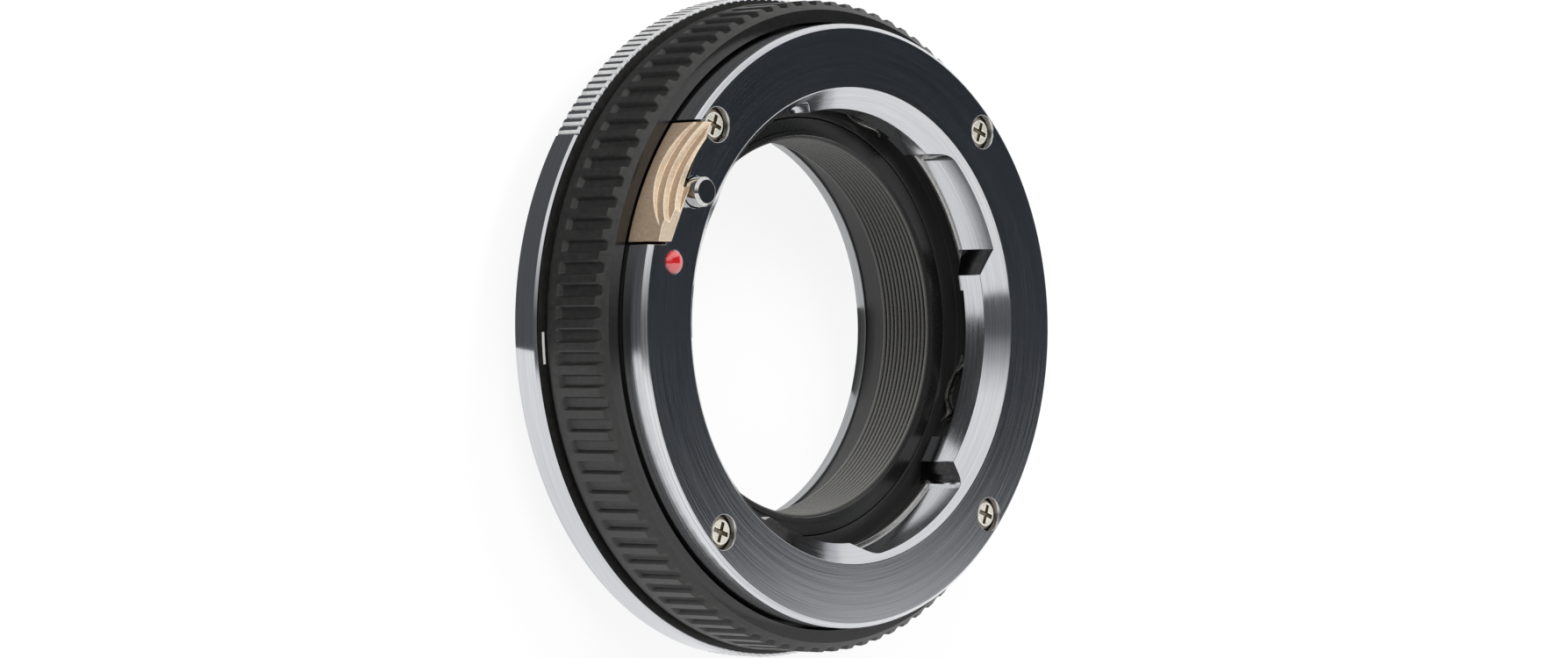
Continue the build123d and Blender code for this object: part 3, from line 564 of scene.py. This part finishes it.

# %% [markdown]
# Three touches of colour are left: the bronze release button, whose forward-facing scoop is painted lighter
# as a highlight, the red enamel of the index bead under a clear glossy coat, and the white paint in the index
# mark.

# %% Bronze, enamel and paint
BRONZE = make_finish(
    "champagne_bronze",
    tone=(specks(250), (0.36, 0.265, 0.185), (0.46, 0.345, 0.25)),
    gloss=(specks(150), 0.36, 0.5),
    bump=(specks(60), 10, 0.3),
    Metallic=0.55,
)
# Light bronze for the scoop faces that face forward: a painted highlight.
SCOOP_HIGHLIGHT = make_finish(
    "scoop_highlight_bronze",
    tone=(specks(250), (0.70, 0.56, 0.41), (0.84, 0.71, 0.55)),
    gloss=(specks(150), 0.28, 0.4),
    bump=(specks(60), 8, 0.3),
    Metallic=0.6,
)
ENAMEL = make_finish(
    "red_enamel",
    tone=(specks(600), (0.40, 0.008, 0.011), (0.50, 0.012, 0.015)),
    gloss=(specks(300), 0.08, 0.16),
    bump=(specks(500), 10, 0.15),
    Coat_Weight=1.0,
    Coat_Roughness=0.05,
    Coat_IOR=2.1,
)
PAINT = make_finish(
    "white_paint",
    tone=(specks(200), (0.76, 0.76, 0.74), (0.86, 0.86, 0.84)),
    gloss=(specks(200), 0.35, 0.5),
    bump=(specks(100), 10, 0.3),
)
print("coloured finishes 4")

# %% [markdown]
# A solid straight from the drawing has knife edges, and real edges catch light because they are broken.
# Most pieces in view are therefore copied, welded and given a small bevel. On turned faces the shading
# normal can be worked out exactly: it keeps its slope and turns with the angle of the point. That gives
# chrome with no kinks, however coarse the facets are.

# %% Copies with broken edges
WELD = 1e-7
FLAT_ANGLE = radians(0.8)
CORNER_ANGLE = radians(24)
TURNED_SLACK = 0.06
ROUND_PROFILE = 0.5


def turned_normals(mesh):
    """Sets exact normals on faces turned about the axis, and smooth ones on the rest."""
    mesh.shade_smooth()
    mesh.set_sharp_from_angle(angle=CORNER_ANGLE)
    normals = [Vector(c.vector) for c in mesh.corner_normals]
    for face in mesh.polygons:
        angle = atan2(face.center.y, face.center.x)
        out = face.normal.x * cos(angle) + face.normal.y * sin(angle)
        side = face.normal.y * cos(angle) - face.normal.x * sin(angle)
        if abs(side) > TURNED_SLACK:
            continue
        for loop in face.loop_indices:
            point = mesh.vertices[mesh.loops[loop].vertex_index].co
            radius = hypot(point.x, point.y)
            if radius > 0:
                normals[loop] = Vector((out * point.x / radius, out * point.y / radius, face.normal.z))
    mesh.normals_split_custom_set([n.normalized() for n in normals])


def new_piece(name, mesh, material):
    """Object in the scene with one finish."""
    mesh.materials.clear()
    mesh.materials.append(material)
    piece = bpy.data.objects.new(name, mesh)
    bpy.context.scene.collection.objects.link(piece)
    return piece


def seat(piece, node):
    """The piece rides on its node's body, and the node is hidden."""
    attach(piece, nodes[node]["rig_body"])
    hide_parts(node)
    print(piece.name, "faces", len(piece.data.polygons))


def broken_edges(name, node, material, edge, steps=2):
    """Copy of a node with its corners bevelled by edge millimetres."""
    mesh = bpy.data.meshes.new(name)
    shape = bmesh.new()
    shape.from_mesh(nodes[node].data)
    bmesh.ops.remove_doubles(shape, verts=shape.verts, dist=WELD)
    bmesh.ops.dissolve_limit(shape, angle_limit=FLAT_ANGLE, verts=shape.verts, edges=shape.edges)
    corners = [e for e in shape.edges if e.is_manifold and e.calc_face_angle() > CORNER_ANGLE]
    bmesh.ops.bevel(shape, geom=corners, offset=edge * MM, offset_type="OFFSET", segments=steps,
                    profile=ROUND_PROFILE, affect="EDGES", clamp_overlap=False)
    shape.to_mesh(mesh)
    shape.free()
    turned_normals(mesh)
    piece = new_piece(name, mesh, material)
    seat(piece, node)
    return piece


camera_bayonet = broken_edges("camera_bayonet", "camera_mount_plate", BRIGHT, edge=0.05)
button = broken_edges("button", "release_button", BRONZE, edge=0.07, steps=3)
broken_edges("pin", "lock_pin", POLISHED, edge=0.04)
broken_edges("barrel", "lens_barrel", LACQUER, edge=0.04)
broken_edges("baffle", "rear_light_baffle", LACQUER, edge=0.04)
broken_edges("spring_plate", "bayonet_spring", STEEL, edge=0.03)
screws = broken_edges("screws", "mount_screws", NICKEL, edge=0.05, steps=3)
lens_bayonet = broken_edges("lens_bayonet", "lens_mount_plate", BRIGHT, edge=0.05)

# %% [markdown]
# Some pieces carry more than one finish. On the lens mount the face, cone and lugs are bright, the side
# of the flange is turned more coarsely and shows streaks, and the lug ends and ledges are painted dark as
# shade.
# The rear rim is satin, the cross in a screw is painted dark as shade, and the faces of the button's scoop
# that face forward get a lighter bronze as a painted highlight.
# A small rule over radius, height and normal picks the faces.

# %% Second finishes
FLANGE_SIDE = 27.6
LUG_SIDE = 24.0
RIM_SIDE = 19.4
RECESS = 0.08
LEDGE_DROP = 1.2
FACES_OUT = 0.7
FACES_IN = -0.9
FACES_UP = 0.9
SCOOP_UP = 0.2
UPRIGHT = 0.3
LUG_END_OUT = (-0.95, 0.6)
LUG_END_SIDE = -0.1


def refinish(piece, material, rule):
    """Gives another finish to the faces that a rule picks by radius, height, outward share and normal."""
    piece.data.materials.append(material)
    count = 0
    for face in piece.data.polygons:
        radius = hypot(face.center.x, face.center.y)
        out = (face.normal.x * face.center.x + face.normal.y * face.center.y) / radius
        if rule(radius / MM, face.center.z / MM, out, face.normal):
            face.material_index = len(piece.data.materials) - 1
            count += 1
    print(piece.name, material.name, "faces", count)


def flange_side(radius, height, out, normal):
    return radius > FLANGE_SIDE and out > FACES_OUT


def lug_end(radius, height, out, normal):
    least, most = LUG_END_OUT
    end = abs(normal.z) < UPRIGHT and least < out < most and normal.y > LUG_END_SIDE
    ledge = normal.z > FACES_UP and height < FACE_Z / MM - LEDGE_DROP
    return radius < LUG_SIDE and (end or ledge)


def rim_bore(radius, height, out, normal):
    return radius < RIM_SIDE and out < FACES_IN


screw_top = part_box("mount_screws")[1].z / MM


def cross_recess(radius, height, out, normal):
    return height < screw_top - RECESS


def scoop(radius, height, out, normal):
    return normal.z > SCOOP_UP


refinish(lens_bayonet, STREAKED, flange_side)
refinish(lens_bayonet, SHADED_LUG_ENDS, lug_end)
refinish(camera_bayonet, SATIN, rim_bore)
refinish(screws, SCREW_CROSS_SHADE, cross_recess)
refinish(button, SCOOP_HIGHLIGHT, scoop)

# %% [markdown]
# The floors of the gaps between the lugs lean out a little, because the cutter that made them was
# tapered. The lean is too small to change the form, but it decides what the chrome mirrors, so it goes
# into the shading normals of those faces alone.

# %% Gap floors
GAP_RADIUS = 21.5
GAP_SLACK = 0.12
GAP_FACES_IN = -0.97
GAP_LEAN = radians(10)

mesh = lens_bayonet.data
normals = [Vector(c.vector) for c in mesh.corner_normals]
floors = 0
for face in mesh.polygons:
    radius = hypot(face.center.x, face.center.y) / MM
    out = (face.normal.x * face.center.x + face.normal.y * face.center.y) / (radius * MM)
    if out > GAP_FACES_IN or abs(radius - GAP_RADIUS) > GAP_SLACK:
        continue
    floors += 1
    for loop in face.loop_indices:
        flat = Vector((normals[loop].x, normals[loop].y, 0)).normalized()
        normals[loop] = flat * cos(GAP_LEAN) + Vector((0, 0, sin(GAP_LEAN)))
mesh.normals_split_custom_set(normals)
print("gap floor faces", floors)

# %% [markdown]
# The focusing ring is milled with 94 short grooves. A boolean would leave their ends knife sharp, so the
# ring is a grid of its own: the blank's outline is carried round the axis in small steps, and each point
# outside the groove floor is pulled in to it. Soft shoulders in the groove's formula round its edges.

# %% Focusing ring
GROOVES = 94
GROOVE_PHASE = 182.3
GROOVE_DEPTH = 0.45
GROOVE_FLOOR_WIDTH = 0.80
GROOVE_MOUTH_WIDTH = 1.25
GROOVE_STEPS = 22
REAR_BAND = 1.2
RUN_OUT = 0.55
GRIP_CHAMFER = 0.9
GRIP_LIP = 1.0
GRIP_WALL = 1.18
LIP_WALL = 2.1
LIP_EDGE = 0.04
GRIP_ROUND = 0.35
GRIP_SHOULDER = 0.1
GRIP_CORNER = radians(38)


def soft_step(value):
    """Rises smoothly from 0 to 1."""
    value = min(max(value, 0.0), 1.0)
    return value * value * (3 - 2 * value)


def even(steps):
    """Angles of a full turn in even steps."""
    return [2 * pi * k / steps for k in range(steps)]


def spin(name, outline, angles, shape=None):
    """Closed ring mesh from an outline of (radius, height) millimetres carried round the axis."""
    vertices = []
    for angle in angles:
        for r, z in outline:
            if shape:
                r = shape(r, z, angle)
            vertices.append((r * cos(angle) * MM, r * sin(angle) * MM, z * MM))
    count = len(outline)
    faces = []
    for k in range(len(angles)):
        here, there = k * count, (k + 1) % len(angles) * count
        for i in range(count):
            j = (i + 1) % count
            faces.append((here + i, there + i, there + j, here + j))
    mesh = bpy.data.meshes.new(name)
    mesh.from_pydata(vertices, [], faces)
    return mesh


def run(start, end, steps):
    """Evenly spaced points from start up to, but without, end."""
    return [tuple(a + (b - a) * k / steps for a, b in zip(start, end)) for k in range(steps)]


low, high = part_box("focus_grip_ring")
grip_radius = high.x / MM
grip_low, grip_high = low.z / MM, high.z / MM
groove_low = grip_low + REAR_BAND
groove_pitch = 2 * pi / GROOVES


def groove(r, z, angle):
    """Radius of the grip at a height and an angle, with the grooves cut in."""
    turn = (angle - radians(GROOVE_PHASE)) / groove_pitch
    away = abs(turn - round(turn)) * groove_pitch * grip_radius
    flank = (GROOVE_MOUTH_WIDTH - GROOVE_FLOOR_WIDTH) / 2
    cut = 1 - soft_step((away - GROOVE_FLOOR_WIDTH / 2) / flank)
    reach = soft_step((z - groove_low) / RUN_OUT)
    return min(r, grip_radius - GROOVE_DEPTH * cut * reach)


front = grip_high - GRIP_CHAMFER
bore = grip_radius - GRIP_WALL
lip_bore = grip_radius - LIP_WALL
shoulder = (grip_radius - GRIP_SHOULDER, grip_low + GRIP_SHOULDER)
grip_outline = (
    run((grip_radius - GRIP_ROUND, grip_low), shoulder, 2)
    + run(shoulder, (grip_radius, grip_low + GRIP_ROUND), 2)
    + run((grip_radius, grip_low + GRIP_ROUND), (grip_radius, groove_low), 2)
    + run((grip_radius, groove_low), (grip_radius, groove_low + RUN_OUT), 7)
    + run((grip_radius, groove_low + RUN_OUT), (grip_radius, front), 3)
    + run((grip_radius, front), (grip_radius - GRIP_CHAMFER, grip_high), 9)
    + [(grip_radius - GRIP_CHAMFER, grip_high), (lip_bore + LIP_EDGE, grip_high)]
    + [(lip_bore, grip_high - LIP_EDGE)]
    + [(lip_bore, grip_high - GRIP_LIP), (bore, grip_high - GRIP_LIP), (bore, grip_low)]
)
grip_mesh = spin("focus_grip", grip_outline, even(GROOVES * GROOVE_STEPS), groove)
grip_mesh.shade_smooth()
grip_mesh.set_sharp_from_angle(angle=GRIP_CORNER)
grip = new_piece("focus_grip", grip_mesh, ANODISED)
seat(grip, "focus_grip_ring")


def front_annulus(radius, height, out, normal):
    return normal.z > FACES_UP


refinish(grip, GLOSS, front_annulus)

# %% [markdown]
# Two small set screws hold the ring on the sleeve. Their holes go straight through the rear band, so a
# boolean with two cylinders cuts them and leaves the rest of the ring alone.

# %% Set screw holes
SET_SCREW_HOLE = 0.42
SET_SCREW_HEIGHT = 0.75
SET_SCREW_ANGLES = (75, 285)
DRILL_DEPTH = 4.0
DRILL_STEPS = 32

shape = bmesh.new()
for angle in SET_SCREW_ANGLES:
    spot = Matrix.Translation((grip_radius * MM, 0, (grip_low + SET_SCREW_HEIGHT) * MM))
    across = Matrix.Rotation(pi / 2, 4, "Y")
    bmesh.ops.create_cone(shape, cap_ends=True, segments=DRILL_STEPS, radius1=SET_SCREW_HOLE * MM,
                          radius2=SET_SCREW_HOLE * MM, depth=DRILL_DEPTH * MM,
                          matrix=Matrix.Rotation(radians(angle), 4, "Z") @ spot @ across)
drill = new_piece("drill", bpy.data.meshes.new("drill"), ANODISED)
shape.to_mesh(drill.data)
shape.free()
cut = grip.modifiers.new("set_screw_holes", "BOOLEAN")
cut.object = drill
cut.operation = "DIFFERENCE"
cut.solver = "EXACT"
graph = bpy.context.evaluated_depsgraph_get()
grip.data = bpy.data.meshes.new_from_object(grip.evaluated_get(graph), depsgraph=graph)
grip.modifiers.clear()
bpy.data.objects.remove(drill)
grip.data.set_sharp_from_angle(angle=GRIP_CORNER)
print("focusing ring with set screw holes, faces", len(grip.data.polygons))

# %% [markdown]
# The chromed ring behind is the fixed grip. Two stretches of its rim are knurled with straight, narrow
# grooves. The same spin makes it, with many small steps in the knurl and few where the rim is plain.
# The flanks of the grooves get a pale, matt chrome that is a painted reflection, lighter than the ribs.

# %% Rear ring
KNURL_STARTS = (77.2, 257.2)
KNURL_RIBS = 40
KNURL_PITCH = 1.75
KNURL_DEPTH = 0.30
KNURL_FLOOR_WIDTH = 0.34
KNURL_MOUTH_WIDTH = 0.52
KNURL_STEPS = 20
KNURL_UPRIGHT = 0.6
KNURL_OUT = 0.8
PLAIN_STEPS = 110
RIM_CHAMFER = 0.22
BAYONET_BORE = 19.92
PLATE_SEAT = 28.84
KEEPER_SEAT = 30.80
SLEEVE_SEAT = 30.05
SEAT_Z = 4.8
FLOOR_Z = 5.5
KEEPER_HEIGHT = 0.5

low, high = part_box("rear_grip_ring")
rim = high.x / MM
rim_low, rim_high = low.z / MM, high.z / MM


def knurl_angles():
    """Fine steps within the knurled stretches and wide ones between them."""
    angles = []
    for k, start in enumerate(KNURL_STARTS):
        stretch = KNURL_RIBS * KNURL_PITCH
        angles += [start + KNURL_PITCH * i / KNURL_STEPS for i in range(KNURL_RIBS * KNURL_STEPS)]
        following = KNURL_STARTS[(k + 1) % len(KNURL_STARTS)]
        plain = (following - start - stretch) % 360
        angles += [start + stretch + plain * i / PLAIN_STEPS for i in range(PLAIN_STEPS)]
    return [radians(a) for a in angles]


def knurl(r, z, angle):
    """Radius of the rim with the knurl's grooves cut in."""
    for start in KNURL_STARTS:
        turn = (angle - radians(start)) % (2 * pi) / radians(KNURL_PITCH)
        if turn < KNURL_RIBS:
            away = abs(turn % 1 - 0.5) * radians(KNURL_PITCH) * rim
            flank = (KNURL_MOUTH_WIDTH - KNURL_FLOOR_WIDTH) / 2
            cut = 1 - min(max((away - KNURL_FLOOR_WIDTH / 2) / flank, 0), 1)
            return min(r, rim - KNURL_DEPTH * cut)
    return r


rim_outline = [
    (BAYONET_BORE, SEAT_Z), (PLATE_SEAT, SEAT_Z), (PLATE_SEAT, rim_low), (rim - RIM_CHAMFER, rim_low),
    (rim - RIM_CHAMFER / 2, rim_low + RIM_CHAMFER / 2), (rim, rim_low + RIM_CHAMFER),
    (rim, (rim_low + rim_high) / 2), (rim, rim_high - RIM_CHAMFER),
    (rim - RIM_CHAMFER / 2, rim_high - RIM_CHAMFER / 2), (rim - RIM_CHAMFER, rim_high),
    (KEEPER_SEAT, rim_high), (KEEPER_SEAT, rim_high - KEEPER_HEIGHT), (SLEEVE_SEAT, rim_high - KEEPER_HEIGHT),
    (SLEEVE_SEAT, FLOOR_Z), (BAYONET_BORE, FLOOR_Z),
]
rim_mesh = spin("rear_ring", rim_outline, knurl_angles(), knurl)
turned_normals(rim_mesh)
rear_ring = new_piece("rear_ring", rim_mesh, BRIGHT)
seat(rear_ring, "rear_grip_ring")


def knurl_flank(radius, height, out, normal):
    return abs(normal.z) < KNURL_UPRIGHT and abs(out) < KNURL_OUT and radius > KEEPER_SEAT


refinish(rear_ring, KNURL_FLANK_SHEEN, knurl_flank)

# %% [markdown]
# Light that grazes the inside of the tube would fog the picture, so its bore is cut with fine ridges.
# They are too fine for the drawing and show well in the photograph: a saw-tooth outline, spun once.

# %% Ridged light tube
RIDGES = 12
RIDGE_PITCH = 0.492
RIDGE_FIRST = 0.62
RIDGE_DEPTH = 0.24
RIDGE_CREST = 0.035
RIDGE_VALLEY = 0.42
TUBE_FLANGE = 0.9
TUBE_WALL = 1.2
TUBE_MOUTH = 0.35
TUBE_LIP = 0.4
TUBE_PROUD = 0.2
TUBE_SEAT = 0.5
TUBE_END = 0.3
TUBE_EDGE = 0.15
TUBE_STEPS = 720

low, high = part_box("ridged_light_tube")
tube_low, tube_high = low.z / MM, high.z / MM
tube_flange = high.x / MM
tube_wall = tube_flange - TUBE_FLANGE
tube_bore = tube_wall - TUBE_WALL
tube_mouth = tube_bore + TUBE_MOUTH
lip_edge = tube_mouth + TUBE_LIP
ridges = []
for k in range(RIDGES):
    crest = tube_high - RIDGE_FIRST - k * RIDGE_PITCH
    ridges += [
        (tube_bore + RIDGE_DEPTH, crest + RIDGE_PITCH * RIDGE_VALLEY),
        (tube_bore, crest + RIDGE_CREST),
        (tube_bore, crest - RIDGE_CREST),
        (tube_bore + RIDGE_DEPTH, crest - RIDGE_PITCH * RIDGE_VALLEY),
    ]
tube_outline = (
    [(lip_edge, tube_high), (tube_mouth, tube_high)]
    + ridges[:-1]
    + [(tube_bore, tube_low + TUBE_END), (tube_bore + TUBE_END, tube_low), (tube_wall, tube_low)]
    + [(tube_wall, tube_high - TUBE_SEAT), (tube_flange, tube_high - TUBE_SEAT)]
    + [(tube_flange, tube_high - TUBE_PROUD - TUBE_EDGE), (tube_flange - TUBE_EDGE, tube_high - TUBE_PROUD)]
    + [(lip_edge, tube_high - TUBE_PROUD)]
)
tube_mesh = spin("ridged_tube", tube_outline, even(TUBE_STEPS))
turned_normals(tube_mesh)
tube = new_piece("ridged_tube", tube_mesh, RIDGE)
seat(tube, "ridged_light_tube")

# %% [markdown]
# The index bead is a small glossy drop of red enamel in the face. It starts as a ball: the lower half is
# pulled out into a short post and the upper half is pressed to a low dome.

# %% Index bead
BEAD_RINGS = 14
BEAD_STEPS = 48
DOME_SHARE = 0.5
POST_SHARE = 0.6
BEAD_CORNER = radians(40)

low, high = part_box("index_bead")
bead_middle = (low + high) / 2
bead_radius = (high.x - low.x) / 2
bead_face = high.z - bead_radius


def dome_mesh(name, radius, foot):
    """Low dome on a short post, about its own axis, closed at the top and the foot."""
    shape = bmesh.new()
    bmesh.ops.create_uvsphere(shape, u_segments=BEAD_STEPS, v_segments=2 * BEAD_RINGS, radius=radius)
    for vertex in shape.verts:
        if vertex.co.z > 0:
            vertex.co.z *= DOME_SHARE
        elif vertex.co.z < -WELD:
            flat = Vector((vertex.co.x, vertex.co.y, 0))
            if flat.length > radius * POST_SHARE:
                flat *= radius / flat.length
            vertex.co = flat + Vector((0, 0, -foot))
    mesh = bpy.data.meshes.new(name)
    shape.to_mesh(mesh)
    shape.free()
    mesh.shade_smooth()
    mesh.set_sharp_from_angle(angle=BEAD_CORNER)
    return mesh


bead = new_piece("bead", dome_mesh("bead", bead_radius, bead_face - low.z), ENAMEL)
bead.location = (bead_middle.x, bead_middle.y, bead_face)
seat(bead, "index_bead")

# %% [markdown]
# The small coil spring under the button closes when the button is pressed. A rigid copy would be cut by
# the button's tongue; here the coil is a smooth-shaded copy that stays where it is and rides on no body.

# %% Release spring
low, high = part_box("release_spring")
coil = new_piece("coil_spring", nodes["release_spring"].data.copy(), STEEL)
coil.data.shade_smooth()
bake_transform(coil)
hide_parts("release_spring")
print(coil.name, "faces", len(coil.data.polygons))

# %% [markdown]
# The rest of the solids are plain enough to show as they are, and most of them sit deep inside.
# They only need the right finish in their material slots.

# %% Finishes on the remaining solids
PLAIN = {
    "helicoid_sleeve": LACQUER,
    "guide_key_1": BRASS,
    "guide_key_2": BRASS,
    "guide_key_3": BRASS,
    "guide_key_screws": STEEL,
    "grip_set_screws": STEEL,
    "camera_mount_screws": NICKEL,
    "sleeve_keeper_ring": ANODISED,
    "upper_slip_washer": BRASS,
    "lower_slip_washer": BRASS,
    "focus_stop_pin": STEEL,
    "index_mark": PAINT,
}
for name, coat in PLAIN.items():
    nodes[name].data.materials.clear()
    nodes[name].data.materials.append(coat)
print("plain solids", len(PLAIN))
